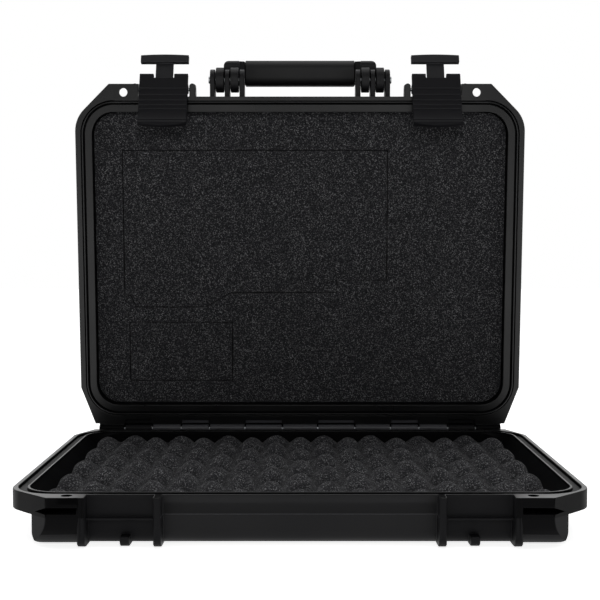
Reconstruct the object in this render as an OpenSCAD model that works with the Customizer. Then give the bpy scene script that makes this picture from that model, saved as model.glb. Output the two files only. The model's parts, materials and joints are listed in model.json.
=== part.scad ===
// Hard utility case for microphones, shown open: the lid half lies on its back and the deep
// base half stands at the hinge, leaning a little over the lid. Millimetres, +Z up, -Y front.
//
// Every piece is drawn for the closed case first: the hinge axis is the X axis, the seam is
// the plane Z = 0, the front is +Y, the base hangs below the seam and the lid stands above it.
// place_lid() and place_base() then carry the two halves to where they are when it is open.

/* [Case] */
// Width across the two rims
case_w = 510; // [490:1:560]
// From the hinge axis to the front edge of the rims
rim_front = 383; // [370:1:410]
// From the hinge axis to the rear edge of the rims
rim_rear = 5.4; // [5.2:0.1:6.4]
// Radius between a side and its front chamfer
corner_r = 35; // [30:1:40]
// From a side edge to the inner end of its front chamfer
chamfer_in = 39; // [36:1:43]
// Width of a padlock tab at its front
tab_w = 33; // [31:0.5:36]
// Radius at the lower front of the lid's padlock blocks
block_nose = 27; // [14:1:28]
// How far the tabs and ribs stand out past the front edge
tab_reach = 14.2; // [13.6:0.2:18]
// Thickness of the ribs beside the latches
rib_t = 6.8; // [5.5:0.1:7.5]
// Height of the skirt round each rim
skirt_h = 17.4; // [16:0.2:18]
// Wall of the skirt
skirt_wall = 3; // [2:0.1:4]
// Thickness of the rim plate over the skirt
rim_plate = 6; // [5.5:0.1:7.5]
// Gap between the two rims when the case is shut
seam_gap = 0.4; // [0.3:0.05:0.8]
// Angle by which the standing base leans over the lid
lean = 5; // [0:0.5:10]
// Wall of the two bodies
wall = 4; // [3:0.1:4.5]
// Thickness of the two floors
floor_t = 3.2; // [2.5:0.1:5]
// From the hinge axis to the rear of both bodies
body_rear = 20; // [19:0.5:22]
// How far the rear feet stand out behind the hinge axis
foot_reach = 7; // [5.5:0.5:9]
// Width of a rear foot
foot_w = 27; // [20:1:30]

/* [Lid] */
// Depth of the lid half below the seam
lid_h = 44; // [42:1:50]
// From a side edge of the rim to the lid's body
lid_side = 24; // [20:0.5:26]
// From the front edge of the rim to the lid's body
lid_front_in = 3; // [2:0.1:4]
// Radius of the lid's far edges
lid_edge_r = 12; // [8:1:14]

/* [Base] */
// Depth of the base half
base_h = 98; // [92:1:120]
// From a side edge of the rim to the base's body
base_side = 14; // [12:0.5:15]
// From the front edge of the rim to the base's body
base_front_in = 11.5; // [9:0.5:12.5]
// From the middle of the seal in to the base's inner wall
base_ledge = 10.5; // [9:0.1:12]
// Radius of the base's far edges
base_edge_r = 14; // [8:1:16]
// Height of the padlock blocks and outer ribs on the base
base_block_h = 62; // [56:1:76]

/* [Seal] */
// From a side edge to the middle of the seal
seal_side = 8.5; // [8.2:0.1:9]
// From the front edge to the middle of the seal
seal_front = 6.6; // [6.4:0.1:7]
// From the rear edge to the middle of the seal
seal_rear = 12; // [11:0.5:13]
// Corner radius of the seal
seal_r = 36; // [33:1:42]
// Width of the gasket
gasket_w = 7.6; // [6:0.1:8]
// Height of the gasket
gasket_h = 2; // [1.5:0.1:2.4]
// Depth of the groove that holds the gasket
groove_h = 4.6; // [4.4:0.1:4.9]
// Gap that the shut case leaves between the ridge and the gasket, before it is pressed
seal_gap = 0.3; // [0.2:0.05:0.5]
// Width of the ridge on the base that presses the gasket
ridge_w = 1.6; // [1.2:0.1:2.4]
// Width of the grooves on both sides of the ridge
moat_w = 1.4; // [1:0.1:2]
// Depth of those grooves
moat_h = 1.2; // [0.8:0.1:2]

/* [Hinge] */
// Radius of the hinge barrels
barrel_r = 4.3; // [4:0.1:4.4]
// Radius of the hinge pin
hinge_pin_r = 1.6; // [1.2:0.1:2]
// Gap between two neighbouring barrels
barrel_gap = 1.6; // [1:0.1:2.2]
// Clearance round every pin in its bore
pin_clear = 0.05; // [0.02:0.01:0.08]

/* [Foam] */
// From the seam down to the base foam
foam_recess = 12; // [8:0.5:18]
// Thickness of the loose pad under the cut foam
pad_t = 20; // [12:1:30]
// Gap round each foam piece
foam_gap = 0.3; // [0.2:0.1:0.6]
// From the seam to the tips of the egg-crate foam
peak_recess = 2; // [1.5:0.5:6]
// Height of the egg-crate peaks
peak_h = 25; // [20:1:27]
// Radius of a peak's round tip
peak_tip_r = 10.5; // [9:0.5:12]
// Radius of a peak at its foot
peak_foot_r = 20; // [18:0.5:22]
// Distance between peaks in one row
peak_pitch = 54.2; // [50:0.2:58]
// Distance between rows of peaks
row_pitch = 36.6; // [33:0.2:38]
// From the hinge axis to the first row of peaks
first_row = 53; // [48:1:58]
// From the base's side wall to the two cut blocks
cut_side = 32; // [26:1:40]
// From the base's front wall to the large block
cut_front = 42.9; // [36:0.1:50]
// From the base's rear wall to the small block
cut_rear = 26.1; // [20:0.1:34]

/* [Latches] */
// Gap between a latch and the ribs beside it
latch_gap = 1.65; // [0.8:0.05:2.5]
// Width of a latch
latch_w = 54.7; // [50:0.1:56]
// How far the latch pins lie past the front edge
latch_past = 8; // [7:0.5:9]
// From the seam down to the latch pins
latch_drop = 9; // [8:0.5:10]
// Radius of the latch pins
latch_pin_r = 2; // [1.5:0.1:2.4]
// Angle between an open latch and a shut one
latch_fold = 62; // [56:1:63]
// Length of a latch from its pin to its lip
latch_len = 52.5; // [49:0.5:54]
// Length of a trigger from the pin to the end of its tail
tail_len = 41; // [36:0.5:44]
// From a latch pin to the inner face of the latch plate
latch_in = 4.6; // [4.4:0.1:5.2]
// From a latch pin to the outer face of the latch plate
latch_out = 10.8; // [10.5:0.1:12]
// Underside of the catch, from the seam
catch_h = 21.5; // [20:0.5:24]
// How far the catch stands out past the front edge
catch_reach = 5; // [4:0.5:5.5]

/* [Handle] */
// How far the handle's pins lie past the front edge
handle_past = 19.2; // [18.5:0.1:26]
// From the seam to the handle's pins
handle_drop = 22.5; // [22.3:0.1:26]
// From a latch's inner rib to the handle's outer post
post_side = 15.7; // [12:0.1:20]
// Thickness of the handle's posts
post_t = 5.5; // [4:0.1:7]
// Thickness of the handle's lugs
lug_t = 9; // [7:0.2:11]
// Gap between a post and a lug
lug_gap = 1.15; // [0.5:0.05:1.6]
// Radius of the handle's lugs
lug_r = 14.2; // [12.5:0.1:15.5]
// Radius of the posts' round ends
post_r = 12; // [9:0.5:13]
// Radius of the handle's pins
handle_pin_r = 2.5; // [2:0.1:3]
// From the pins to the middle of the grip
handle_len = 43; // [41:1:50]
// How far each end of the rubber grip reaches over the inner posts
grip_lap = 0.6; // [0.3:0.1:2]
// Width of the grip, across the palm
grip_w = 30; // [26:1:31]
// Depth of the grip
grip_d = 30.4; // [26:0.2:32]

/* [Padlock] */
// From the rim of a padlock hole to the block behind it, on the base
lock_margin = 2.5; // [1:0.1:4]
// From the inner end of a chamfer in to the padlock hole
lock_in = 16.3; // [15.5:0.1:17.5]
// From the front of a padlock tab back to its hole
lock_back = 9.5; // [8:0.1:10.5]
// Radius of the padlock holes
lock_r = 4.8; // [3:0.1:5.2]
// Thickness of the padlock tabs
tab_t = 9; // [8:0.1:10]
// Height of the slot behind a tab
tab_slot = 5.5; // [4.5:0.1:6]

/* [Valve] */
// Radius of the pressure valve's cap
valve_r = 11; // [8:0.5:14]
// Depth of the pressure valve below the seam
valve_drop = 58; // [50:1:64]

/* [Hidden] */
$fn = 64;

tab_front = rim_front + tab_reach;
// The ribs stand out a little past the tabs, so that they take the knocks
rib_front = tab_front + 0.4;
half_w = case_w / 2;
chamfer_x = half_w - chamfer_in;
lid_body_w = case_w - 2 * lid_side;
base_body_w = case_w - 2 * base_side;
lid_body_front = rim_front - lid_front_in;
base_body_front = rim_front - base_front_in;
half_seam = seam_gap / 2;
diag = sqrt(0.5);
// Centre of the corner arc, so that the 45 degree chamfer ends at chamfer_x on the tab's front
arc_x = half_w - corner_r;
arc_y = chamfer_x + tab_front - arc_x - corner_r / diag;
// The rear corners are cut this far along the rear and along the side
rear_cut = [16, 43];

// Rectangle of the centres of the seal's corner arcs: half width, rear and front
seal_box = [half_w - seal_side - seal_r, rim_rear + seal_rear + seal_r,
    rim_front - seal_front - seal_r];

// Inner cavities: the lid's narrows below its lip, the base's runs straight down
lip = 2.5;
lid_cavity_w = lid_body_w - 2 * wall;
lid_cavity_front = seal_box[2] + seal_r - gasket_w / 2 - lip;
lid_slope_h = 14;
lid_corner_r = 20;
base_cavity_r = seal_r - base_ledge;
// Radius where the inner walls meet the floors
floor_r = 8;

// Hinge knuckles: edges on one side of the middle, base and lid in turn
hinge_half = half_w - rear_cut[0] - 4;
knuckles = [for (share = [0.0877, 0.2736, 0.4502, 0.5902, 0.7332, 0.8711, 1])
    share * hinge_half];

// Latches, and the ribs beside each: inner and outer rib and where they start
rib_out = [chamfer_x - tab_w, chamfer_x - tab_w + rib_t];
latch_x = rib_out[0] - latch_gap - latch_w / 2;
rib_in = [latch_x - latch_w / 2 - latch_gap - rib_t, latch_x - latch_w / 2 - latch_gap];
rib_root = base_body_front - 5.5;
latch_y = rim_front + latch_past;
handle_y = rim_front + handle_past;
lock_x = chamfer_x - lock_in;
lock_y = tab_front - lock_back;

// Origin: under the middle of the open case, on the surface it lies on
back_reach = (base_h - base_edge_r) * cos(lean)
    - (body_rear + base_edge_r) * sin(lean) + base_edge_r;
hinge_y = (rib_front - back_reach) / 2;
hinge_z = lid_h;

// Ledge behind the barrels: its thickness and its distance from them
back_t = 3;
back_gap = 0.7;
// How far behind the rim's front a padlock block starts, inside the half's own body
block_root = 60;
// Height of the bead at the lower edge of a catch
bead_t = 2;
// How far the base's ribs reach past the latch pins, away from the seam
rib_nose = 8;

// Clear of a cut's own face, so that no two faces of a cut and a solid coincide
over = 1;

// Posts and lugs of the handle on one side: each from its inner to its outer face
lug_step = post_t + lug_t + 2 * lug_gap;
post_in = rib_in[0] - post_side - 2 * lug_step - post_t;
grip_len = 2 * (post_in + grip_lap);
post_x = [for (k = [0 : 2]) let(x = post_in + k * lug_step) [x, x + post_t]];
lug_x = [for (k = [0 : 1]) let(x = post_x[k][1] + lug_gap) [x, x + lug_t]];

// Walls of the base's cavity, and the corners of the two lift-out foam blocks, as the knife
// follows them
base_in = [seal_box[0] + base_cavity_r, seal_box[1] - base_cavity_r,
    seal_box[2] + base_cavity_r];
cut_corner = [cut_side - base_in[0], base_in[2] - cut_front];
large_cut = [for (p = [[0, 0], [305, 0], [305, 150.5], [247, 150.5], [247, 165], [125, 165],
    [94, 182], [13, 182], [7, 169], [0, 169]]) [cut_corner[0] + p[0], cut_corner[1] - p[1]]];
// The small block: its left and right edges and its front, from the large block's corner
small_x = [cut_corner[0] + 5, cut_corner[0] + 125.5];
small_front = cut_corner[1] - 199;
small_rear = base_in[1] + cut_rear;
small_cut = [[small_x[0], small_front], [small_x[1], small_front], [small_x[1], small_rear],
    [small_x[0], small_rear]];
cut_w = 0.8;
pad_top = base_h - floor_t - foam_gap - pad_t;

// Pressure valve: its stem, the cap's height, and the nut inside
valve_stem_r = 5;
valve_cap_h = 3.5;
nut_r = 8;
nut_h = 3;
stem_past = 1.4;

// Handle: the bar inside the grip, the grip's corner radius, and how far its middle lies
// outside the line of the pins; half the depth of an arm and the radius of its corner
bar_d = 18;
bar_w = 20;
bar_r = 6;
grip_r = 11;
grip_shift = 9.2;
arm_half = 13.5;
arm_corner = 18;
arm_round = 6;
grip_gap = 0.3;

// Play of the handle's lugs round the posts' ends
web_clear = 0.7;

// Latch: barrels round the pin, the trigger's hub and the slot that holds it
latch_barrel_r = 5;
hub_half = 10;
slot_half = 10.6;
// Wall of the latch plate over the trigger, how far its lip flares, and the bows of the ends
plate_t = 2.4;
lip_flare = 2.6;
lip_bow = 3;
tail_bow = 1;
// Low ridges across the latch, from its pin, their radius and how far they stand out
ridge_rows = [5, 13, 20, 26, 31];
lip_rows = [44.5, 48.5];
ridge_r = 1.4;
ridge_up = 0.5;

black = "#1d1e20";
black_soft = "#232426";
rubber = "#151516";
foam_grey = "#2b2b2c";
steel = "#8d9092";

// ---------------------------------------------------------------- placing

module place_lid() {
    translate([0, hinge_y, hinge_z]) rotate([180, 0, 0]) children();
}

module place_base() {
    translate([0, hinge_y, hinge_z]) rotate([90 + lean, 0, 0]) children();
}

module place_latch(side) {
    place_base()
        translate([side * latch_x, latch_y, -latch_drop])
            rotate([latch_fold, 0, 0]) children();
}

module both_sides() {
    for (m = [0, 1]) mirror([m, 0, 0]) children();
}

// ---------------------------------------------------------------- shared shapes

// Outline of a rim seen from above, moved in by inset
module rim_outline(inset = 0) {
    r = corner_r - inset;
    s = r * diag;
    front = rim_front - inset;
    tab = tab_front - inset;
    rear = rim_rear + inset;
    both_sides() {
        polygon([[0, rear], [half_w - rear_cut[0] - inset, rear],
            [half_w - inset, rim_rear + rear_cut[1]], [half_w - inset, arc_y],
            [arc_x + s, arc_y + s], [arc_x + 2 * s - (tab - arc_y), tab],
            [rib_out[0] + inset, tab], [rib_out[0] + inset, front], [0, front]]);
        translate([arc_x, arc_y]) circle(r);
    }
}

// Rectangle with round corners, given by width, rear, front and radius
module round_rect(w, rear, front, r) {
    translate([-w / 2 + r, rear]) square([w - 2 * r, front - rear]);
    translate([-w / 2, rear + r]) square([w, front - rear - 2 * r]);
    for (x = [-1, 1], y = [rear + r, front - r])
        translate([x * (w / 2 - r), y]) circle(r);
}

// Sweeps a section round a rectangle of corner centres: half width, rear and front.
// The section's X runs outwards from those centres and its Y runs up.
module sweep_round(box) {
    both_sides() {
        translate([box[0], box[2], 0]) rotate_extrude(angle = 90) children();
        translate([box[0], box[1], 0]) rotate([0, 0, -90])
            rotate_extrude(angle = 90) children();
        translate([box[0], box[2], 0]) rotate([90, 0, 0])
            linear_extrude(box[2] - box[1]) children();
    }
    translate([-box[0], box[2], 0]) rotate([90, 0, 90])
        linear_extrude(2 * box[0]) children();
    translate([box[0], box[1], 0]) rotate([90, 0, -90])
        linear_extrude(2 * box[0]) children();
}

// Square with its far corner rounded: the section of a moulded edge
module edge_section(w, h, r) {
    square([w, h - r]);
    square([w - r, h]);
    translate([w - r, h - r]) intersection() {
        circle(r);
        square(r);
    }
}

// Block with round upright corners and a round far edge, from Z = 0 to h
module tub(w, rear, front, h, corner, edge) {
    box = [w / 2 - corner, rear + corner, front - corner];
    sweep_round(box) edge_section(corner, h, edge);
    translate([-box[0], box[1], 0]) cube([2 * box[0], box[2] - box[1], h]);
}

// Upright rib with a round nose. It stands out in full to rib_h and then ends behind the rim's
// edge, and its lower end is round.
module rib(span, h, rib_h) {
    w = span[1] - span[0];
    reach = rib_front - rib_root;
    low = rim_front - rib_root - 1;
    translate([span[0], rib_root, 0]) intersection() {
        linear_extrude(h) {
            square([w, reach - w / 2]);
            translate([w / 2, reach - w / 2]) circle(w / 2);
        }
        rotate([90, 0, 90]) linear_extrude(w) {
            edge_section(low, h, lid_edge_r - 1.5);
            edge_section(reach, rib_h, lid_edge_r - 1.5);
        }
    }
}

// Block behind a padlock tab: it follows the rim's chamfer and rounds off at its far end
module lock_block(h, front, side, nose, edge) {
    left = rib_out[0] + 3;
    w = side - left;
    rear = rim_front - block_root;
    l = front - rear;
    cut = side + front - chamfer_x - tab_front;
    translate([left, rear, 0]) intersection() {
        linear_extrude(h) polygon([[0, 0], [w, 0], [w, l - max(cut, 1)], [w - max(cut, 1), l],
            [0, l]]);
        rotate([90, 0, 90]) linear_extrude(w) edge_section(l, h, nose);
        translate([0, l, 0]) rotate([90, 0, 0]) linear_extrude(l) edge_section(w, h, edge);
    }
}

// Everything that a half's front carries on both sides: blocks and ribs
module front_blocks(h, block_front, side, nose, rib_h) {
    both_sides() {
        lock_block(h, block_front, side, nose, lid_edge_r);
        rib(rib_out, h, rib_h);
        rib(rib_in, h, rib_h);
    }
}

// Hole through each padlock tab, and on through depth below the seam
module lock_holes(depth) {
    both_sides() translate([lock_x, lock_y, -over]) cylinder(r = lock_r, h = depth + over);
}

// Slot under each of the lid's padlock tabs, where the shackle turns; it is open at the
// front and, with a slanted end, at the chamfer
module lock_slots() {
    rear = lock_y - lock_r - wall - tab_slot;
    both_sides() translate([0, rib_front + over, tab_t]) rotate([90, 0, 0])
        linear_extrude(rib_front + over - rear)
            polygon([[rib_out[1] - over / 2, 0], [chamfer_x, 0], [chamfer_x + 12, tab_slot],
                [rib_out[1] - over / 2, tab_slot]]);
}

// Rim plate with the skirt that hangs from its edge
module rim() {
    translate([0, 0, half_seam]) {
        linear_extrude(rim_plate - half_seam) rim_outline();
        linear_extrude(skirt_h - half_seam) difference() {
            rim_outline();
            rim_outline(skirt_wall);
        }
    }
}

// Barrels with the arms that join them to their rim; ups is 1 for the lid, -1 for the base
module barrels(first, ups) {
    for (i = [first : 2 : len(knuckles) - 2]) both_sides()
        knuckle(knuckles[i] + barrel_gap / 2, knuckles[i + 1] - barrel_gap / 2, ups);
}

module knuckle(x0, x1, ups) {
    translate([x0, 0, 0]) {
        rotate([0, 90, 0]) cylinder(r = barrel_r, h = x1 - x0);
        translate([0, 0, ups > 0 ? half_seam : -barrel_r])
            cube([x1 - x0, rim_rear + 3, barrel_r - half_seam]);
    }
}

module hinge_bore() {
    reach = knuckles[len(knuckles) - 1] + 1;
    translate([-reach, 0, 0]) rotate([0, 90, 0])
        cylinder(r = hinge_pin_r + pin_clear, h = 2 * reach);
}

// Feet behind a half's body, cored from their soles, on which the shut case stands upright
module rear_feet(h, edge) {
    l = body_rear + 3 + foot_reach;
    core = (foot_w - 3 * skirt_wall) / 2;
    both_sides() translate([hinge_half - foot_w, 0, skirt_h - over]) difference() {
        translate([foot_w, body_rear + 3, 0]) rotate([90, 0, -90])
            linear_extrude(foot_w) edge_section(l, h - skirt_h + over, edge);
        for (k = [0, 1]) translate([skirt_wall + k * (core + skirt_wall), skirt_wall - foot_reach,
            skirt_wall + over]) cube([core, l - 2 * skirt_wall - 3, h]);
    }
}

// ---------------------------------------------------------------- lid half

module lid_shell() {
    color(black) place_lid() difference() {
        union() {
            rim();
            lid_flare();
            translate([0, 0, half_seam]) {
                tub(lid_body_w, body_rear, lid_body_front, lid_h - half_seam, 24, lid_edge_r);
                front_blocks(lid_h - half_seam, tab_front, lid_body_w / 2, block_nose,
                    lid_h - half_seam);
            }
            catches();
            lid_toes();
            rear_feet(lid_h, 3);
            barrels(0, 1);
        }
        lid_cavity();
        gasket_groove();
        lock_slots();
        lock_holes(tab_t + tab_slot + 11);
        hinge_bore();
    }
}

// Thickening outside the slope below the lid's inner lip
module lid_flare() {
    top = seal_r - gasket_w / 2 - lip + wall;
    low = lid_body_w / 2 - seal_box[0];
    sweep_round(seal_box) polygon([[0, half_seam], [top, half_seam], [top, rim_plate - over],
        [low, lid_slope_h + wall], [0, lid_slope_h + wall]]);
}

// The skirt reaches lower between the ribs and ends in the bead that the triggers hold
module catches() {
    x = rib_in[1] - over;
    w = rib_out[0] - x + over;
    rear = lid_body_front - skirt_wall;
    both_sides() {
        translate([x, rear, half_seam]) cube([w, rim_front - rear, catch_h - half_seam]);
        translate([x, rear, catch_h - bead_t]) cube([w, rim_front + catch_reach - rear, bead_t]);
    }
}

// Small feet at the middle of each latch bay
module lid_toes() {
    both_sides()
        translate([latch_x - 8, lid_body_front - 14, lid_h - 9])
            rotate([90, 0, 90]) linear_extrude(8) edge_section(26, 9, 7);
}

module lid_cavity() {
    top = seal_r - gasket_w / 2 - lip;
    low = lid_cavity_w / 2 - seal_box[0];
    translate([0, 0, -over])
        tub(lid_cavity_w, body_rear + wall, lid_cavity_front, lid_h - floor_t + over,
            lid_corner_r, floor_r);
    sweep_round(seal_box) polygon([[0, -over], [top, -over], [top, 2], [low, lid_slope_h],
        [0, lid_slope_h]]);
    translate([-seal_box[0], seal_box[1], -over])
        cube([2 * seal_box[0], seal_box[2] - seal_box[1], lid_slope_h + over]);
}

module gasket_groove() {
    translate([0, 0, half_seam - 1]) sweep_round(seal_box)
        translate([seal_r - gasket_w / 2 - 0.1, 0]) square([gasket_w + 0.2, groove_h + 1]);
}

module lid_gasket() {
    color(rubber) place_lid() translate([0, 0, half_seam + groove_h - gasket_h])
        sweep_round(seal_box) translate([seal_r - gasket_w / 2, 0])
            square([gasket_w, gasket_h]);
}

// One peak of the egg-crate foam: a cone with a round tip, turned about its axis
module foam_peak() {
    // The flank touches the tip's sphere, so the angle follows from the two radii
    reach = norm([peak_foot_r, peak_h - peak_tip_r]);
    lift = acos(peak_tip_r / reach) - atan2(peak_h - peak_tip_r, peak_foot_r);
    touch = [peak_tip_r * cos(lift), peak_h - peak_tip_r + peak_tip_r * sin(lift)];
    rotate_extrude() {
        polygon([[0, -1], [peak_foot_r, -1], [peak_foot_r, 0], touch,
            [0, peak_h - peak_tip_r]]);
        translate([0, peak_h - peak_tip_r]) intersection() {
            circle(peak_tip_r);
            square(peak_tip_r);
        }
    }
}

module lid_foam() {
    slab_top = peak_recess + peak_h;
    w = lid_cavity_w - 2 * foam_gap;
    rear = body_rear + wall + foam_gap;
    l = lid_cavity_front - foam_gap - rear;
    color(foam_grey) place_lid() intersection() {
        union() {
            translate([-w / 2, rear, slab_top])
                cube([w, l, lid_h - floor_t - foam_gap - slab_top]);
            for (row = [0 : floor((lid_cavity_front - first_row) / row_pitch)]) {
                shift = row % 2 == 0 ? 0 : peak_pitch / 2;
                count = floor((w / 2 + 9 - shift) / peak_pitch);
                for (i = [-count - (row % 2) : count])
                    translate([i * peak_pitch + shift, first_row + row * row_pitch, slab_top])
                        mirror([0, 0, 1]) foam_peak();
            }
        }
        tub(w, rear, rear + l, lid_h - floor_t - foam_gap, lid_corner_r - foam_gap,
            floor_r - foam_gap);
    }
}

// ---------------------------------------------------------------- hinge

module hinge_pin() {
    reach = knuckles[len(knuckles) - 1] - 1;
    color(steel) place_base() translate([-reach, 0, 0]) rotate([0, 90, 0])
        cylinder(r = hinge_pin_r, h = 2 * reach);
}

// ---------------------------------------------------------------- base half

module base_shell() {
    color(black) place_base() difference() {
        union() {
            mirror([0, 0, 1]) base_outside();
            seal_ridge();
            barrels(1, -1);
            middle_knuckle();
            barrel_backs();
        }
        mirror([0, 0, 1]) {
            base_cavity();
            lock_holes(base_block_h);
            valve_seat();
        }
        hinge_bore();
        seal_moats();
        knuckle_windows();
        lid_barrel_pockets();
        latch_pin_bores();
        handle_pin_bores();
    }
}

module base_outside() {
    rim();
    translate([0, 0, half_seam]) {
        tub(base_body_w, body_rear, base_body_front, base_h - half_seam, 30, base_edge_r);
        front_blocks(base_block_h, lock_y - lock_r - lock_margin, lid_body_w / 2,
            lid_edge_r, latch_drop + rib_nose);
    }
    handle_posts();
    rear_feet(base_h - base_edge_r, 5);
}

module base_cavity() {
    translate([0, 0, -over]) {
        sweep_round(seal_box) edge_section(base_cavity_r, base_h - floor_t + over, floor_r);
        translate([-seal_box[0], seal_box[1], 0])
            cube([2 * seal_box[0], seal_box[2] - seal_box[1], base_h - floor_t + over]);
    }
}

module seal_ridge() {
    top = half_seam + groove_h - gasket_h - seal_gap;
    translate([0, 0, -over]) sweep_round(seal_box)
        translate([seal_r - ridge_w / 2, 0]) square([ridge_w, top + over]);
}

// Grooves on both sides of that ridge
module seal_moats() {
    translate([0, 0, -half_seam - moat_h]) sweep_round(seal_box)
        for (side = [-1, 1]) translate([seal_r + side * (ridge_w + moat_w) / 2 - moat_w / 2, 0])
            square([moat_w, moat_h + 1]);
}

// Ledges that close the base's rim behind the lid's barrels
module barrel_backs() {
    translate([-hinge_half, 0, -barrel_r - back_gap - back_t])
        cube([2 * hinge_half, rim_rear + over, back_t]);
}

module middle_knuckle() {
    x = knuckles[0] - barrel_gap / 2;
    knuckle(-x, x, -1);
}

// Windows in the base's barrels, seen from the lid's side
module knuckle_windows() {
    depth = barrel_r - hinge_pin_r - 0.4;
    for (i = [1 : 2 : len(knuckles) - 2]) both_sides()
        knuckle_window(knuckles[i] + 8, knuckles[i + 1] - 8, depth);
    both_sides() knuckle_window(2, knuckles[0] - 5, depth);
}

module knuckle_window(x0, x1, depth) {
    translate([x0, -3, barrel_r - depth]) cube([x1 - x0, 3.4, depth + 1]);
}

// Pockets in the base's rim above the lid's barrels
module lid_barrel_pockets() {
    for (i = [0 : 2 : len(knuckles) - 2]) both_sides()
        translate([knuckles[i] + 1, rim_rear - 1, -3]) cube([knuckles[i + 1] - knuckles[i] - 2, 5.5, 4]);
}

module latch_pin_bores() {
    both_sides() translate([rib_in[0] - 1, latch_y, -latch_drop]) rotate([0, 90, 0])
        cylinder(r = latch_pin_r + pin_clear, h = rib_out[1] - rib_in[0]);
}

// Posts that carry the handle, three on each side
module handle_posts() {
    both_sides() for (p = post_x)
        translate([p[0], 0, handle_drop]) rotate([90, 0, 90]) linear_extrude(p[1] - p[0]) {
            translate([base_body_front - 2, -post_r])
                square([handle_y - base_body_front + 2, 2 * post_r]);
            translate([handle_y, 0]) circle(post_r);
        }
}

module handle_pin_bores() {
    both_sides() translate([post_x[0][0] - 1, handle_y, -handle_drop]) rotate([0, 90, 0])
        cylinder(r = handle_pin_r + pin_clear, h = 60);
}

// ---------------------------------------------------------------- base foam

module base_foam_outline() {
    grow = base_cavity_r - foam_gap;
    round_rect(2 * (base_in[0] - foam_gap), base_in[1] + foam_gap, base_in[2] - foam_gap, grow);
}

// Layer of the base's foam between two depths below the seam
module foam_layer(top, bottom) {
    translate([0, 0, -bottom]) linear_extrude(bottom - top) children();
}

module base_foam_frame() {
    color(foam_grey) place_base() difference() {
        foam_layer(foam_recess, pad_top - foam_gap) difference() {
            base_foam_outline();
            polygon(large_cut);
            polygon(small_cut);
        }
        valve_notch();
    }
}

// Room in the foam for the nut and the end of the valve's stem
module valve_notch() {
    depth = nut_h + stem_past + foam_gap;
    half = nut_r + foam_gap;
    translate([-half, base_in[2] - depth, -valve_drop - half]) cube([2 * half, depth + over, 2 * half]);
}

module shrunk(points) {
    middle = [for (k = [0, 1]) (min([for (p = points) p[k]]) + max([for (p = points) p[k]])) / 2];
    span = [for (k = [0, 1]) max([for (p = points) p[k]]) - min([for (p = points) p[k]])];
    polygon([for (p = points) [for (k = [0, 1])
        middle[k] + (p[k] - middle[k]) * (1 - 2 * cut_w / span[k])]]);
}

module foam_block_large() {
    color(foam_grey) place_base() foam_layer(foam_recess, pad_top - foam_gap)
        shrunk(large_cut);
}

module foam_block_small() {
    color(foam_grey) place_base() foam_layer(foam_recess, pad_top - foam_gap)
        shrunk(small_cut);
}

module base_foam_pad() {
    corner = floor_r - 1 + foam_gap;
    color(foam_grey) place_base() foam_layer(pad_top, pad_top + pad_t)
        round_rect(2 * (base_in[0] - corner), base_in[1] + corner, base_in[2] - corner,
            base_cavity_r - corner);
}

// ---------------------------------------------------------------- pressure valve

module valve_seat() {
    translate([0, base_body_front - over, valve_drop]) rotate([-90, 0, 0])
        cylinder(r = valve_r + foam_gap, h = 5);
    translate([0, base_body_front - 20, valve_drop]) rotate([-90, 0, 0])
        cylinder(r = valve_stem_r + pin_clear, h = 30);
}

module valve_body() {
    stem_end = base_in[2] - nut_h - stem_past;
    seat = base_body_front - over;
    color(black_soft) place_base() translate([0, seat, -valve_drop]) rotate([-90, 0, 0]) {
        difference() {
            cylinder(r = valve_r, h = valve_cap_h);
            for (a = [0 : 30 : 330]) rotate([0, 0, a])
                translate([valve_r, 0, valve_cap_h]) sphere(1);
        }
        translate([0, 0, stem_end - seat]) cylinder(r = valve_stem_r, h = seat + 1 - stem_end);
    }
}

module valve_nut() {
    color(black_soft) place_base() translate([0, base_in[2], -valve_drop])
        rotate([90, 0, 0]) difference() {
            cylinder(r = nut_r, h = nut_h, $fn = 6);
            translate([0, 0, -over]) cylinder(r = valve_stem_r + pin_clear, h = nut_h + 2 * over);
        }
}

// ---------------------------------------------------------------- handle

// The folded handle: its arms run from the pins towards the base's floor
module handle_core() {
    grip_y = handle_y + grip_shift;
    color(black_soft) place_base() difference() {
        union() {
            both_sides() {
                for (l = lug_x) translate([l[0], handle_y, -handle_drop]) rotate([0, 90, 0])
                    cylinder(r = lug_r, h = l[1] - l[0]);
                handle_arm();
            }
            translate([-lug_x[0][1], grip_y, -handle_drop - handle_len]) rotate([0, 90, 0])
                linear_extrude(2 * lug_x[0][1]) bar_section(bar_d, bar_w, bar_r);
        }
        both_sides() middle_post_room();
        handle_pin_bores();
    }
}

// Where the middle post passes between the lugs while the handle turns
module middle_post_room() {
    r = post_r + web_clear;
    gap = lug_x[1][0] - lug_x[0][1];
    translate([lug_x[0][1], 0, -handle_drop]) {
        translate([0, handle_y, 0]) rotate([0, 90, 0]) cylinder(r = r, h = gap);
        translate([0, 0, -r]) cube([gap, handle_y, r + lug_r]);
        cube([gap, handle_y + lug_r + over, lug_r + over]);
    }
}

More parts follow.
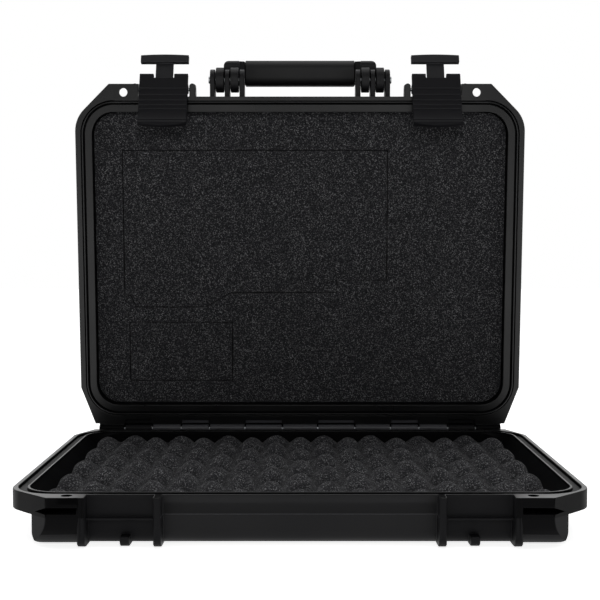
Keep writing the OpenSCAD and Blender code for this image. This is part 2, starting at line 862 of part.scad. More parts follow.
// Arm from the lugs to the grip: a side view, a top view and a view along the grip's bar.
// Its crest is as high as the grip, and its front face stands behind the lugs.
module handle_arm() {
    far = handle_len + arm_half;
    inner = post_in + grip_lap + grip_gap;
    outer = lug_x[1][1];
    top = grip_shift + arm_half;
    low = grip_shift - arm_half;
    face = lug_r - 4;
    crest = outer - inner - lug_t + 1;
    intersection() {
        translate([inner, handle_y, -handle_drop]) rotate([90, 0, 90])
            linear_extrude(outer - inner) {
                translate([grip_shift, -handle_len]) circle(arm_half);
                translate([low, -handle_len]) square([2 * arm_half, handle_len - face - arm_round]);
                translate([low, -face - arm_round - over])
                    square([2 * arm_half - arm_round, arm_round + over]);
                translate([top - arm_round, -face - arm_round]) circle(arm_round);
                translate([low, -face - over]) square([lug_r - 2 - low, face + over]);
            }
        translate([0, handle_y + 2 * lug_r, -handle_drop]) rotate([90, 0, 0])
            linear_extrude(4 * lug_r) {
                translate([lug_x[0][0], -far + arm_corner])
                    square([outer - lug_x[0][0], far - arm_corner]);
                translate([inner, -far]) square([outer - arm_corner - inner, 2 * arm_half]);
                translate([outer - arm_corner, -far + arm_corner]) circle(arm_corner);
            }
        translate([inner, handle_y, -handle_drop - far]) linear_extrude(far) {
            translate([0, -2 * lug_r]) square([outer - inner, 3 * lug_r - 3]);
            square([crest - arm_round, top]);
            square([crest, top - arm_round]);
            translate([crest - arm_round, top - arm_round]) circle(arm_round);
        }
    }
}

// Section of the bar and of the grip: a rectangle with round corners about its middle
module bar_section(d, w, r) {
    translate([-d / 2 + r, -w / 2]) square([d - 2 * r, w]);
    translate([-d / 2, -w / 2 + r]) square([d, w - 2 * r]);
    for (x = [-1, 1], y = [-1, 1])
        translate([x * (d / 2 - r), y * (w / 2 - r)]) circle(r);
}

module handle_grip() {
    color(rubber) place_base()
        translate([-grip_len / 2, handle_y + grip_shift, -handle_drop - handle_len])
            rotate([0, 90, 0]) linear_extrude(grip_len) difference() {
                bar_section(grip_d, grip_w, grip_r);
                bar_section(bar_d, bar_w, bar_r);
            }
}

module handle_pin(side) {
    color(steel) place_base() mirror([side < 0 ? 1 : 0, 0, 0])
        translate([post_x[0][0], handle_y, -handle_drop]) rotate([0, 90, 0]) {
            cylinder(r = handle_pin_r, h = post_x[2][1] - post_x[0][0]);
            translate([0, 0, post_x[2][1] - post_x[0][0]]) cylinder(r = 4, h = 2);
        }
}

module handle_pin_left() { handle_pin(-1); }
module handle_pin_right() { handle_pin(1); }

// ---------------------------------------------------------------- latches

// Cuts a bowed end, whose middle stands out by bow past its sides
module bowed_end(length, w, bow) {
    r = (w * w / 4 + bow * bow) / (2 * bow);
    rotate([-90, 0, 0]) translate([0, 0, -20]) linear_extrude(50) intersection() {
        translate([0, r - length]) circle(r, $fn = 256);
        translate([-w / 2, -length - 5]) square([w, length + 100]);
    }
}

module latch_body(side) {
    color(black_soft) place_latch(side) difference() {
        intersection() {
            latch_block();
            bowed_end(latch_len, latch_w, lip_bow);
        }
        // Room for the trigger's hub and arm behind the outer plate
        translate([-slot_half, -20, -16])
            cube([2 * slot_half, 20 + latch_out - plate_t, catch_h + 34]);
        // Slits beside the root of the trigger's tail
        translate([-slot_half - 1, -20, -16]) cube([2 * slot_half + 2, 50, 6.5]);
        rotate([0, 90, 0]) translate([0, 0, -50])
            cylinder(r = latch_pin_r + pin_clear, h = 100);
    }
}

module latch_block() {
    translate([-latch_w / 2, 0, 0]) {
        rotate([0, 90, 0]) cylinder(r = latch_barrel_r, h = latch_w);
        translate([0, 0, -latch_barrel_r]) cube([latch_w, latch_out, 2 * latch_barrel_r]);
        rotate([90, 0, 90]) linear_extrude(latch_w)
            polygon([[latch_in, -15], [latch_out - 1, -15], [latch_out, -14], [latch_out, 38],
                [latch_out + lip_flare, latch_len - 3], [latch_out + lip_flare, latch_len],
                [latch_in + lip_flare, latch_len], [latch_in, 40]]);
        for (s = ridge_rows) translate([0, latch_out + ridge_up - ridge_r, s])
            rotate([0, 90, 0]) cylinder(r = ridge_r, h = latch_w);
        for (s = lip_rows) translate([0, latch_out + lip_flare * (s - 38) / (latch_len - 41)
            + ridge_up - ridge_r, s]) rotate([0, 90, 0]) cylinder(r = ridge_r, h = latch_w);
    }
}

module latch_pin(side) {
    color(steel) place_base()
        translate([side * (rib_in[0] + rib_out[1]) / 2 - (rib_out[1] - rib_in[0]) / 2 + 1,
            latch_y, -latch_drop])
            rotate([0, 90, 0]) cylinder(r = latch_pin_r, h = rib_out[1] - rib_in[0] - 3);
}

module trigger(side) {
    tip_in = 2.1;
    hook_s = catch_h + latch_drop + 1.1;
    arm_out = latch_out - plate_t - 0.3;
    arm_in = arm_out - 2;
    color(black) place_latch(side) difference() {
        union() {
            translate([-hub_half, 0, 0]) {
                rotate([0, 90, 0]) cylinder(r = latch_barrel_r - 0.4, h = 2 * hub_half);
                translate([0, 0, 0]) cube([2 * hub_half, arm_out, 4]);
                translate([0, arm_in, 0]) cube([2 * hub_half, arm_out - arm_in, hook_s + 4]);
                translate([0, -tip_in, hook_s]) cube([2 * hub_half, arm_out + tip_in, 4]);
                translate([0, 2.6, -tail_len + 9]) cube([2 * hub_half, 3.2, tail_len - 9]);
            }
            intersection() {
                translate([-latch_w / 2, 2.6, -tail_len])
                    cube([latch_w, 6, 10]);
                mirror([0, 0, 1]) bowed_end(tail_len, latch_w, tail_bow);
            }
        }
        rotate([0, 90, 0]) translate([0, 0, -50])
            cylinder(r = latch_pin_r + pin_clear, h = 100);
    }
}

module latch_body_left() { latch_body(-1); }
module latch_body_right() { latch_body(1); }
module latch_pin_left() { latch_pin(-1); }
module latch_pin_right() { latch_pin(1); }
module trigger_left() { trigger(-1); }
module trigger_right() { trigger(1); }

// ---------------------------------------------------------------- nodes

lid_shell();
lid_gasket();
lid_foam();
hinge_pin();
base_shell();
base_foam_frame();
foam_block_large();
foam_block_small();
base_foam_pad();
valve_body();
valve_nut();
handle_core();
handle_grip();
handle_pin_left();
handle_pin_right();
latch_body_left();
latch_body_right();
latch_pin_left();
latch_pin_right();
trigger_left();
trigger_right();
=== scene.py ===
import json
import math
import bmesh
import bpy
from mathutils import Matrix, Vector, noise
from mathutils.geometry import intersect_point_line


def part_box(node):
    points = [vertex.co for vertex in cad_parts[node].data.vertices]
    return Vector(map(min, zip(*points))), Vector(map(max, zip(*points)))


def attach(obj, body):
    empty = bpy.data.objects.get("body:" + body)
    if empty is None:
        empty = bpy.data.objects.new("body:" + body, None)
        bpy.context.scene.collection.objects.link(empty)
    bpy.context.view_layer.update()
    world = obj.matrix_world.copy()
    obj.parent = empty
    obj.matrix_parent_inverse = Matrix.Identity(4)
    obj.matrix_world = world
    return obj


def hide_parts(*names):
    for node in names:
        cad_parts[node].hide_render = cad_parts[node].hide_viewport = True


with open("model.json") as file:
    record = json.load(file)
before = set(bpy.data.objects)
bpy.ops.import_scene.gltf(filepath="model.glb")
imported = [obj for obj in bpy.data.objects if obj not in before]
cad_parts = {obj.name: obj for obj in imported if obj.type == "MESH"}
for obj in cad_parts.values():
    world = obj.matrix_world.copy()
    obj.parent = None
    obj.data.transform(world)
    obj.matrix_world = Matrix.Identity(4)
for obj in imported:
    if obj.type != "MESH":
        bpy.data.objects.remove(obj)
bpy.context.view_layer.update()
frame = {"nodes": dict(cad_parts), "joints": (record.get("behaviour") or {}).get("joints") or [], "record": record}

# ------------------------------------------------------------------ lid and base shells
# The two halves of the case are injection-moulded in black polypropylene with a fine
# spark-eroded texture. The tool leaves every outer edge slightly round, and that
# narrow round catches the light along the rims, ribs and padlock blocks.

# Rounds: the shells' edge radius, the share of a face that its rounds may take, the least
# radius that is worth making, and the turns from which an edge is shaded sharp and rounded
SHELL_EDGE = 0.0007
ROUND_SHARE = 0.8
SMALLEST_ROUND = 0.00012
SHARP_FROM = math.radians(32)
ROUND_FROM = math.radians(35)
# Turns in a face's outline below this count as straight, and rounds are fitted in this
# many passes
STRAIGHT_TURN = 0.05
FITTING_PASSES = 14
# Clean-up of the CAD's triangles: points this near are one, faces this flat are one
MERGE_DISTANCE = 3e-5
FLAT_TURN = math.radians(0.6)
# Places on the shells, in metres from the hinge axis, from the middle or below the seam
SKIRT_H = 0.0174
SPLIT_BELOW = 0.0003
# A strip this high above the skirt's lower edge gets a painted highlight line
LINE_ABOVE = 0.0006
TAB_INNER_X = 0.1815
RIB_OUTER_X = 0.1910
MIDDLE_TO = 0.1185
FRONT_FROM = 0.372
# The painted shade on the padlock blocks reaches this far below the seam
BLOCK_DARK_TO = 0.035
# Hinge barrels within this radius of the axis, and this far out, get painted light
BARREL_R = 0.0125
BARREL_TO_X = 0.2
BASE_LEAN = math.radians(5)
# Finishes of the shells, in the order of their materials: the mould's matt, polished and satin finishes, a darker
# copy that is painted shade, and a paler copy that is painted light
MATT, POLISHED, DARK, SATIN, PAINTED_LIGHT = range(5)


def linear(code):
    """Linear colour of an sRGB hex value."""
    parts = [int(code[i:i + 2], 16) / 255 for i in (1, 3, 5)]
    return [c / 12.92 if c <= 0.04045 else ((c + 0.055) / 1.055) ** 2.4 for c in parts] + [1.0]


def add_node(tree, kind, settings=(), **links):
    """Adds a node, sets its properties and inputs, and links what is a socket."""
    node = tree.nodes.new(kind)
    for key, value in dict(settings).items():
        setattr(node, key, value)
    for key, value in links.items():
        place = int(key[1:]) if key[1:].isdigit() else key.replace("_", " ")
        socket = node.inputs[place]
        if isinstance(value, bpy.types.NodeSocket):
            tree.links.new(value, socket)
        else:
            socket.default_value = value
    return node


def per_metre(size_mm):
    """Scale of a pattern whose cells are that many millimetres wide."""
    return 1000 / size_mm


def moulded_plastic(name, dark, light, roughness, specular, grain_mm, grain_height):
    """Textured plastic: a fine bump, with slow changes of colour and gloss over it.

    A finish with a wide grain has no texture of its own, and is only a little wavy.
    """
    material = bpy.data.materials.new(name)
    material.use_nodes = True
    tree = material.node_tree
    shader = tree.nodes["Principled BSDF"]
    shader.inputs["Specular IOR Level"].default_value = specular
    place = add_node(tree, "ShaderNodeTexCoord").outputs["Object"]
    slow = add_node(tree, "ShaderNodeTexNoise", Vector=place, Scale=per_metre(70), Detail=4.0)
    grain = add_node(tree, "ShaderNodeTexNoise", Vector=place, Scale=per_metre(grain_mm),
                     Detail=3.0, Roughness=0.6)
    tint = add_node(tree, "ShaderNodeMix", {"data_type": "RGBA"}, _0=slow.outputs["Fac"],
                    _6=linear(dark), _7=linear(light))
    gloss = add_node(tree, "ShaderNodeMapRange", Value=slow.outputs["Fac"], From_Min=0.3,
                     From_Max=0.7, To_Min=roughness - 0.05, To_Max=roughness + 0.06)
    bump = add_node(tree, "ShaderNodeBump", Strength=0.35, Distance=grain_height / 1000,
                    Height=grain.outputs["Fac"])
    tree.links.new(tint.outputs[2], shader.inputs["Base Color"])
    tree.links.new(gloss.outputs["Result"], shader.inputs["Roughness"])
    tree.links.new(bump.outputs["Normal"], shader.inputs["Normal"])
    return material


def gap_between(one, other):
    """Shortest way from the ends of either edge to the other edge."""
    shortest = math.inf
    ways = [(point, other) for point in one] + [(point, one) for point in other]
    for point, (start, end) in ways:
        along = intersect_point_line(point, start, end)[1]
        near = start.lerp(end, min(1.0, max(0.0, along)))
        shortest = min(shortest, (point - near).length)
    return shortest


def length_taken(own, other, first, second, normal):
    """Length that two rounds meeting at a corner take from the edge that has the first one."""
    turn = math.atan2(first.cross(second).dot(normal), first.dot(second))
    if abs(turn) < STRAIGHT_TURN:
        return 0.0
    return (other - own * math.cos(turn)) / math.sin(turn)


def narrow_faces(shape, weight, edge):
    """Makes the rounds smaller on both sides of a face that is too narrow for them."""
    for face in shape.faces:
        loops = list(face.loops)
        ends = [(loop.vert.co, loop.link_loop_next.vert.co) for loop in loops]
        for i, (start, end) in enumerate(ends):
            ahead = (end - start).normalized()
            inward = face.normal.cross(ahead)
            for j in range(i):
                if not (loops[i].edge[weight] or loops[j].edge[weight]):
                    continue
                # Only edges that face each other across the face share its width
                back = (ends[j][1] - ends[j][0]).normalized()
                if ahead.dot(back) > -0.5 or inward.dot(sum(ends[j], -start - end)) < 0:
                    continue
                room = ROUND_SHARE * gap_between(ends[i], ends[j]) / 2 / edge
                for loop in (loops[i], loops[j]):
                    loop.edge[weight] = min(loop.edge[weight], room)


def short_edges(shape, weight, edge):
    """Makes the rounds smaller round a face edge that is too short for them."""
    for _ in range(FITTING_PASSES):
        for face in shape.faces:
            loops = list(face.loops)
            ways = [loop.link_loop_next.vert.co - loop.vert.co for loop in loops]
            lengths = [way.length for way in ways]
            ways = [way.normalized() for way in ways]
            for k in range(len(loops)):
                following = (k + 1) % len(loops)
                sides = [loops[k].edge, loops[k - 1].edge, loops[following].edge]
                own, before, after = [side[weight] * edge for side in sides]
                if not (own or before or after):
                    continue
                need = (length_taken(own, before, ways[k - 1], ways[k], face.normal)
                        + length_taken(own, after, ways[k], ways[following], face.normal))
                if need > ROUND_SHARE * lengths[k]:
                    part = max(0.5, ROUND_SHARE * lengths[k] / need)
                    for side in sides:
                        smaller = side[weight] * part
                        side[weight] = smaller if smaller * edge > SMALLEST_ROUND else 0.0


def moulded_copy(node, name, edge, segments=2):
    """Copy of a CAD node with merged faces and small round edges, in the node's own place."""
    body = next(b for b, nodes in frame["record"]["behaviour"]["bodies"].items() if node in nodes)
    shape = bmesh.new()
    shape.from_mesh(frame["nodes"][node].data)
    bmesh.ops.remove_doubles(shape, verts=shape.verts, dist=MERGE_DISTANCE)
    bmesh.ops.dissolve_limit(shape, angle_limit=FLAT_TURN, verts=shape.verts, edges=shape.edges)
    for face in shape.faces:
        face.smooth = True
    weight = shape.edges.layers.float.new("bevel_weight_edge")
    for side in shape.edges:
        turn = side.calc_face_angle(0.0) if side.is_manifold else 0.0
        side.smooth = side.is_manifold and turn < SHARP_FROM
        side[weight] = float(turn > ROUND_FROM)
    narrow_faces(shape, weight, edge)
    short_edges(shape, weight, edge)
    mesh = bpy.data.meshes.new(name)
    shape.to_mesh(mesh)
    shape.free()
    piece = bpy.data.objects.new(name, mesh)
    bpy.context.collection.objects.link(piece)
    bevel = piece.modifiers.new("edges", "BEVEL")
    bevel.width = edge
    bevel.segments = segments
    bevel.limit_method = "WEIGHT"
    bevel.harden_normals = True
    bevel.use_clamp_overlap = False
    # Flat faces keep flat normals, so that no shading runs across a large face
    weighted = piece.modifiers.new("flat faces", "WEIGHTED_NORMAL")
    weighted.keep_sharp = True
    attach(piece, body)
    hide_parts(node)
    return piece


matt_pp = moulded_plastic("matt_polypropylene", "#0d0d0f", "#121214", 0.55, 0.12, 0.55, 0.03)
polished_pp = moulded_plastic("polished_polypropylene", "#070708", "#0a0a0b", 0.30, 0.38, 30, 0.05)
# A darker copy of the plastic, which is painted shade: it goes on the skirts at the case's ends and the fronts of
# the padlock blocks, where little light reaches
shade_painted_pp = moulded_plastic("painted_shade_polypropylene", "#040405", "#060607", 0.45, 0.05, 30, 0.05)
satin_pp = moulded_plastic("satin_polypropylene", "#0d0d0f", "#121214", 0.50, 0.20, 0.55, 0.03)
# A paler copy of the plastic, which is painted light: on the hinge barrels, as a painted highlight line along the
# skirt's lower edge, and on the ledges of the padlock blocks
light_painted_pp = moulded_plastic("painted_light_polypropylene", "#39393d", "#434347", 0.42, 0.30, 0.55, 0.03)
hinge = next(j for j in frame["joints"] if j["name"] == "hinge")
hinge_at = Vector(hinge["pos_m"])


def finish_of(face, seam_normal):
    """Finish of a shell's face, from its place below the seam and on the front, with painted shade and painted
    light among the finishes.
    """
    deep = max((hinge_at - v.co).dot(seam_normal) for v in face.verts)
    inner = min(abs(v.co.x) for v in face.verts)
    outer = max(abs(v.co.x) for v in face.verts)
    facing = face.normal.dot(seam_normal)
    middle = face.calc_center_median() - hinge_at
    in_front = Vector((0, middle.y, middle.z)).cross(seam_normal).length > FRONT_FROM
    at_end = inner > TAB_INNER_X
    rib_side = abs(face.normal.x) > 0.9 and outer < RIB_OUTER_X
    skirt_line = SKIRT_H - 2 * LINE_ABOVE < -middle.dot(seam_normal) < SKIRT_H + SPLIT_BELOW
    block_top = facing > 0.7 and SKIRT_H < deep < BLOCK_DARK_TO
    # Painted light on the hinge barrels, a painted highlight line along the middle of the skirt's lower edge, and
    # painted light on the ledges of the padlock blocks
    if outer < BARREL_TO_X and math.hypot(middle.y, middle.z) < BARREL_R:
        return PAINTED_LIGHT
    if in_front and skirt_line and outer < MIDDLE_TO and abs(facing) < 0.5:
        return PAINTED_LIGHT
    if in_front and block_top and at_end:
        return PAINTED_LIGHT
    if deep < 0.001 and facing > 0.99:
        return POLISHED
    # Painted shade on the skirts at the ends and on the fronts of the padlock blocks
    if at_end and not rib_side and deep < SKIRT_H + 2 * SPLIT_BELOW:
        return DARK
    if at_end and not rib_side and in_front and deep < BLOCK_DARK_TO:
        return DARK
    return SATIN if in_front and outer < MIDDLE_TO else MATT


def finish_faces(piece, seam_normal):
    """Cuts the faces just below and above the skirt's lower edge, for the painted highlight line there, and gives
    each its finish.
    """
    shape = bmesh.new()
    shape.from_mesh(piece.data)
    for cut in (SKIRT_H + SPLIT_BELOW, SKIRT_H - LINE_ABOVE):
        bmesh.ops.bisect_plane(shape, geom=shape.verts[:] + shape.edges[:] + shape.faces[:],
                               dist=1e-6, plane_co=hinge_at - seam_normal * cut,
                               plane_no=seam_normal)
    for face in shape.faces:
        face.material_index = finish_of(face, seam_normal)
    shape.to_mesh(piece.data)
    shape.free()


base_seam = Matrix.Rotation(BASE_LEAN, 3, "X") @ Vector((0, -1, 0))
for node, seam_normal in (("lid_shell", Vector((0, 0, 1))), ("base_shell", base_seam)):
    moulding = moulded_copy(node, node.replace("_shell", "_moulding"), SHELL_EDGE)
    for finish in (matt_pp, polished_pp, shade_painted_pp, satin_pp, light_painted_pp):
        moulding.data.materials.append(finish)
    finish_faces(moulding, seam_normal)

# ------------------------------------------------------------------ rubber gasket
# An extruded cord of neoprene lies in the groove of the lid's rim and seals the case
# when the base's ridge presses into it. It is matt and nearly black.

neoprene = moulded_plastic("neoprene_rubber", "#131314", "#191a1a", 0.62, 0.3, 0.8, 0.02)
moulded_copy("lid_gasket", "gasket", 0.0006, 3).data.materials.append(neoprene)

# ------------------------------------------------------------------ egg-crate foam of the lid
# A slab of charcoal polyether foam, cut on a convoluting machine, which squeezes it
# between knobbed rollers: a soft wave of knobs in staggered rows, cut off at the edges.

# Knobs: their distance in a row, the rows' distance, the first row's place from the hinge,
# the wave's height, and a power above 1 that makes the knobs fuller than the hollows
PEAK_PITCH = 0.0542
ROW_PITCH = 0.0366
FIRST_ROW = 0.053
WAVE_H = 0.019
KNOB_FULLNESS = 1.1
# Slow lumps of the cut surface: their height, their number in a metre, and the level of
# the noise that leaves the wave as it is
LUMP_H = 0.0014
LUMPS_PER_METRE = 35
LUMP_LEVEL = 0.6
CORNER_R = 0.0197
FOAM_STEP = 0.0021
# Colours, with a painted shade at the bottom of a hollow, and the share of the foam's own colour that is left
# there
FOAM_DARK = "#151516"
FOAM_MID = "#37373a"
FOAM_SPECK = "#8c8c8e"
FOAM_HOLLOW = "#0a0a0b"
HOLLOW_LIGHT = 0.3


def foam_material(name, hollow_z, knob_z):
    """Open-cell foam: a fine bump of torn cells, and pale specks of painted glint where cell walls catch the
    light.

    The foam is darker toward the height hollow_z, where little light gets in.
    """
    material = bpy.data.materials.new(name)
    material.use_nodes = True
    tree = material.node_tree
    shader = tree.nodes["Principled BSDF"]
    shader.inputs["Roughness"].default_value = 0.95
    shader.inputs["Specular IOR Level"].default_value = 0.08
    shader.inputs["Sheen Weight"].default_value = 0.03
    shader.inputs["Sheen Roughness"].default_value = 0.6
    place = add_node(tree, "ShaderNodeTexCoord").outputs["Object"]
    # Real cells are about 0.5 mm wide, and are drawn up to twice that so that they show
    cells = add_node(tree, "ShaderNodeTexNoise", Vector=place, Scale=per_metre(1.0), Detail=2.0,
                     Roughness=0.75)
    cloud = add_node(tree, "ShaderNodeTexNoise", Vector=place, Scale=per_metre(12), Detail=3.0)
    ground = add_node(tree, "ShaderNodeMapRange", Value=cells.outputs["Fac"], From_Min=0.36,
                      From_Max=0.64)
    tint = add_node(tree, "ShaderNodeMix", {"data_type": "RGBA"}, _0=ground.outputs["Result"],
                    _6=linear(FOAM_DARK), _7=linear(FOAM_MID))
    # One cell wall in four gets a painted glint, as if it lies so that it shines
    walls = add_node(tree, "ShaderNodeTexVoronoi", Vector=place, Scale=per_metre(0.8))
    shade = add_node(tree, "ShaderNodeSeparateColor", Color=walls.outputs["Color"])
    shiny = add_node(tree, "ShaderNodeMapRange", Value=shade.outputs["Red"], From_Min=0.76,
                     From_Max=1.0)
    lit = add_node(tree, "ShaderNodeMapRange", Value=cloud.outputs["Fac"], From_Min=0.38,
                   From_Max=0.62, To_Min=0.6, To_Max=1.0)
    amount = add_node(tree, "ShaderNodeMath", {"operation": "MULTIPLY"},
                      _0=shiny.outputs["Result"], _1=lit.outputs["Result"])
    colour = add_node(tree, "ShaderNodeMix", {"data_type": "RGBA"}, _0=amount.outputs["Value"],
                      _6=tint.outputs[2], _7=linear(FOAM_SPECK))
    bump = add_node(tree, "ShaderNodeBump", Strength=0.9, Distance=0.0008,
                    Height=cells.outputs["Fac"])
    height = add_node(tree, "ShaderNodeSeparateXYZ", Vector=place)
    reached = add_node(tree, "ShaderNodeMapRange", Value=height.outputs["Z"], From_Min=hollow_z,
                       From_Max=knob_z, To_Min=HOLLOW_LIGHT, To_Max=1.0)
    shaded = add_node(tree, "ShaderNodeMix", {"data_type": "RGBA"}, _0=reached.outputs["Result"],
                      _6=linear(FOAM_HOLLOW), _7=colour.outputs[2])
    tree.links.new(shaded.outputs[2], shader.inputs["Base Color"])
    tree.links.new(bump.outputs["Normal"], shader.inputs["Normal"])
    return material


def crate_depth(x, away):
    """Depth of the foam below its knobs at a place, x across and away from the hinge."""
    across = math.cos(2 * math.pi * x / PEAK_PITCH)
    along = math.cos(math.pi * (away - FIRST_ROW) / ROW_PITCH)
    return WAVE_H * ((1 - across * along) / 2) ** KNOB_FULLNESS


def round_corner(x, y, half_x, half_y, r):
    """Moves a point of a rectangle so that the rectangle's corners become round."""
    a = abs(x) - (half_x - r)
    b = abs(y) - (half_y - r)
    if a > 0 and b > 0:
        pull = max(a, b) / math.hypot(a, b)
        x = math.copysign(half_x - r + a * pull, x)
        y = math.copysign(half_y - r + b * pull, y)
    return x, y


low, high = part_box("lid_foam")
crate_foam = foam_material("egg_crate_foam", high.z - WAVE_H, high.z - 0.3 * WAVE_H)
half_x = (high.x - low.x) / 2
half_y = (high.y - low.y) / 2
mid_y = (high.y + low.y) / 2
crate = bmesh.new()
bmesh.ops.create_grid(crate, x_segments=round(2 * half_x / FOAM_STEP),
                      y_segments=round(2 * half_y / FOAM_STEP), size=1.0)
rim = [e for e in crate.edges if e.is_boundary]
side_walls = bmesh.ops.extrude_edge_only(crate, edges=rim)["geom"]
foot = {v for v in side_walls if isinstance(v, bmesh.types.BMVert)}
bmesh.ops.contextual_create(crate, geom=[e for e in crate.edges if e.is_boundary])
for v in crate.verts:
    x, y = round_corner(v.co.x * half_x, v.co.y * half_y, half_x, half_y, CORNER_R)
    away = hinge_at.y - (mid_y + y)
    if v in foot:
        v.co = (x, mid_y + y, low.z)
    else:
        lump = (noise.noise(Vector((x, y, 0)) * LUMPS_PER_METRE) - LUMP_LEVEL) * LUMP_H
        v.co = (x, mid_y + y, min(high.z, high.z - crate_depth(x, away) + lump))
bmesh.ops.recalc_face_normals(crate, faces=crate.faces)
for face in crate.faces:
    face.smooth = True
crate_mesh = bpy.data.meshes.new("egg_crate_foam")
crate.to_mesh(crate_mesh)
crate.free()
egg_crate = bpy.data.objects.new("egg_crate_foam", crate_mesh)
bpy.context.collection.objects.link(egg_crate)
egg_crate.data.materials.append(crate_foam)
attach(egg_crate, "lid")
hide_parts("lid_foam")

# ------------------------------------------------------------------ flat foam of the base
# Two layers of the same foam: an upper one with two blocks cut out by a knife, still
# in their places, and a loose pad under it. The knife leaves a thin dark line, and the
# upper edges along it are a little round.

# Heights far below the part leave the flat foam at its full shade
polyether_foam = foam_material("charcoal_polyether_foam", -2.0, -1.0)
for node in ("base_foam_frame", "foam_block_large", "foam_block_small", "base_foam_pad"):
    slab = moulded_copy(node, node.replace("foam_", "soft_"), 0.0008)
    slab.data.materials.append(polyether_foam)

# ------------------------------------------------------------------ handle
# A folding handle: two arms of glass-filled nylon joined by a bar, with a grip of soft
# black rubber moulded round the bar. It turns on two steel pins in the base's posts.

nylon = moulded_plastic("glass_filled_nylon", "#0d0d0f", "#121214", 0.5, 0.22, 0.45, 0.02)
moulded_copy("handle_core", "handle_frame", 0.0008, 3).data.materials.append(nylon)
grip_rubber = moulded_plastic("soft_grip_rubber", "#0e0e0f", "#131314", 0.55, 0.3, 0.7, 0.02)
moulded_copy("handle_grip", "handle_rubber", 0.0010, 3).data.materials.append(grip_rubber)

# ------------------------------------------------------------------ latches
# Each latch is a nylon plate with ribs for the thumb, and a trigger with a T-shaped
# tail in its middle. Both turn on one steel pin between the base's ribs.

latch_nylon = moulded_plastic("matt_latch_nylon", "#101013", "#161619", 0.58, 0.13, 0.45, 0.02)
trigger_nylon = moulded_plastic("trigger_nylon", "#18181b", "#1f1f22", 0.5, 0.30, 0.45, 0.02)
for side in ("left", "right"):
    plate = moulded_copy("latch_body_" + side, "latch_plate_" + side, 0.0006)
    plate.data.materials.append(latch_nylon)
    trigger = moulded_copy("trigger_" + side, "latch_trigger_" + side, 0.0006)
    trigger.data.materials.append(trigger_nylon)

# ------------------------------------------------------------------ pressure valve
# A round cap of the case's own plastic on a stem through the front wall, with a hexagon
# nut inside. A row of notches round the cap gives the fingers a hold.

for node, name in (("valve_body", "valve_cap"), ("valve_nut", "valve_lock_nut")):
    moulded_copy(node, name, 0.0004).data.materials.append(matt_pp)

# ------------------------------------------------------------------ steel pins
# Drawn stainless rod, cut to length: one long pin in the hinge, one in each latch and
# one on each side of the handle.

STEEL = "#8f9294"
steel = bpy.data.materials.new("drawn_stainless_steel")
steel.use_nodes = True
steel_tree = steel.node_tree
steel_shader = steel_tree.nodes["Principled BSDF"]
steel_shader.inputs["Metallic"].default_value = 1.0
steel_place = add_node(steel_tree, "ShaderNodeTexCoord").outputs["Object"]
# Drawing lines run along X, so the pattern's cells are 50 mm long and 0.25 mm wide
drawn = add_node(steel_tree, "ShaderNodeMapping", Vector=steel_place,
                 Scale=(per_metre(50), per_metre(0.25), per_metre(0.25)))
lines = add_node(steel_tree, "ShaderNodeTexNoise", Vector=drawn.outputs["Vector"], Scale=1.0,
                 Detail=3.0)
shine = add_node(steel_tree, "ShaderNodeMapRange", Value=lines.outputs["Fac"], To_Min=0.22,
                 To_Max=0.42)
steel_tree.links.new(shine.outputs["Result"], steel_shader.inputs["Roughness"])
steel_shader.inputs["Base Color"].default_value = linear(STEEL)
for node in ("hinge_pin", "handle_pin_left", "handle_pin_right", "latch_pin_left",
             "latch_pin_right"):
    moulded_copy(node, node.replace("pin", "rod"), 0.0003).data.materials.append(steel)

# ------------------------------------------------------------------ camera
# The photograph was taken from in front, a little above the hinge, with a long lens.

LENS_MM = 73.8
SENSOR_MM = 36
CAMERA_FROM_HINGE = Vector((0, -1.4308, 0.2133))
CAMERA_DOWN = math.radians(2.53)
camera_data = bpy.data.cameras.new("camera")
camera_data.lens = LENS_MM
camera_data.sensor_width = SENSOR_MM
camera = bpy.data.objects.new("camera", camera_data)
camera.location = hinge_at + CAMERA_FROM_HINGE
camera.rotation_euler = (math.radians(90) - CAMERA_DOWN, 0, 0)
bpy.context.collection.objects.link(camera)
bpy.context.scene.camera = camera

# ------------------------------------------------------------------ floor and lights
# A white sheet of paper on the floor, a large soft lamp above, and a smaller one in front.
# The paper shows as white to the camera and in gloss, and keeps the object's shadow.

PAPER_SIZE = 6.0
PAPER_GLOW = 0.80
PAPER_WHITE = (0.75, 0.75, 0.75, 1)
ROOM_LEVEL = 0.06

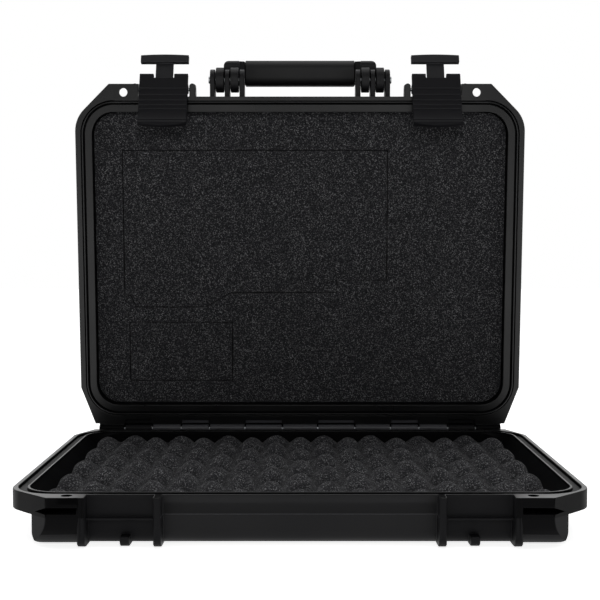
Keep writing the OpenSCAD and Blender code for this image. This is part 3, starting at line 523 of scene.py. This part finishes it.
floor_shape = bmesh.new()
bmesh.ops.create_grid(floor_shape, x_segments=1, y_segments=1, size=PAPER_SIZE)
floor_mesh = bpy.data.meshes.new("floor")
floor_shape.to_mesh(floor_mesh)
floor_shape.free()
floor = bpy.data.objects.new("floor", floor_mesh)
bpy.context.collection.objects.link(floor)
paper = bpy.data.materials.new("white_paper")
paper.use_nodes = True
paper_tree = paper.node_tree
paper_tree.nodes.remove(paper_tree.nodes["Principled BSDF"])
ray = add_node(paper_tree, "ShaderNodeLightPath")
mirrored = add_node(paper_tree, "ShaderNodeMath", {"operation": "MAXIMUM"},
                    _0=ray.outputs["Is Glossy Ray"], _1=ray.outputs["Is Transmission Ray"])
seen = add_node(paper_tree, "ShaderNodeMath", {"operation": "MAXIMUM"},
                _0=ray.outputs["Is Camera Ray"], _1=mirrored.outputs["Value"])
glow_level = add_node(paper_tree, "ShaderNodeMath", {"operation": "MULTIPLY"},
                      _0=seen.outputs["Value"], _1=PAPER_GLOW)
glow = add_node(paper_tree, "ShaderNodeEmission", Strength=glow_level.outputs["Value"])
sheet = add_node(paper_tree, "ShaderNodeBsdfDiffuse", Color=PAPER_WHITE)
both = add_node(paper_tree, "ShaderNodeAddShader", _0=glow.outputs[0], _1=sheet.outputs[0])
paper_tree.links.new(both.outputs[0], paper_tree.nodes["Material Output"].inputs["Surface"])
floor.data.materials.append(paper)


def soft_lamp(name, size, power, location, target):
    """Rectangular lamp that faces a point."""
    lamp_data = bpy.data.lights.new(name, "AREA")
    lamp_data.shape = "RECTANGLE"
    lamp_data.size, lamp_data.size_y = size
    lamp_data.energy = power
    lamp = bpy.data.objects.new(name, lamp_data)
    lamp.location = location
    lamp.rotation_euler = (Vector(target) - Vector(location)).to_track_quat("-Z", "Y").to_euler()
    bpy.context.collection.objects.link(lamp)


soft_lamp("top_lamp", (1.6, 1.2), 8, (0, 0.2, 2.0), (0, 0, 0.2))
soft_lamp("front_lamp", (0.9, 0.6), 9, (0, -2.0, 1.0), (0, 0, 0.2))

world = bpy.data.worlds.new("studio")
bpy.context.scene.world = world
world.use_nodes = True
sky = world.node_tree
sky.nodes.remove(sky.nodes["Background"])
path = add_node(sky, "ShaderNodeLightPath")
direction = add_node(sky, "ShaderNodeTexCoord").outputs["Generated"]
split = add_node(sky, "ShaderNodeSeparateXYZ", Vector=direction)
# The paper behind is bright and the room in front is dim
behind = add_node(sky, "ShaderNodeMapRange", Value=split.outputs["Y"], From_Min=-0.5,
                  From_Max=0.4, To_Min=ROOM_LEVEL, To_Max=1.0)
level = add_node(sky, "ShaderNodeMath", {"operation": "MAXIMUM"},
                 _0=path.outputs["Is Camera Ray"], _1=behind.outputs["Result"])
background = add_node(sky, "ShaderNodeBackground", Color=(1, 1, 1, 1),
                      Strength=level.outputs["Value"])
sky.links.new(background.outputs[0], sky.nodes["World Output"].inputs["Surface"])

bpy.context.scene.view_settings.view_transform = "Standard"
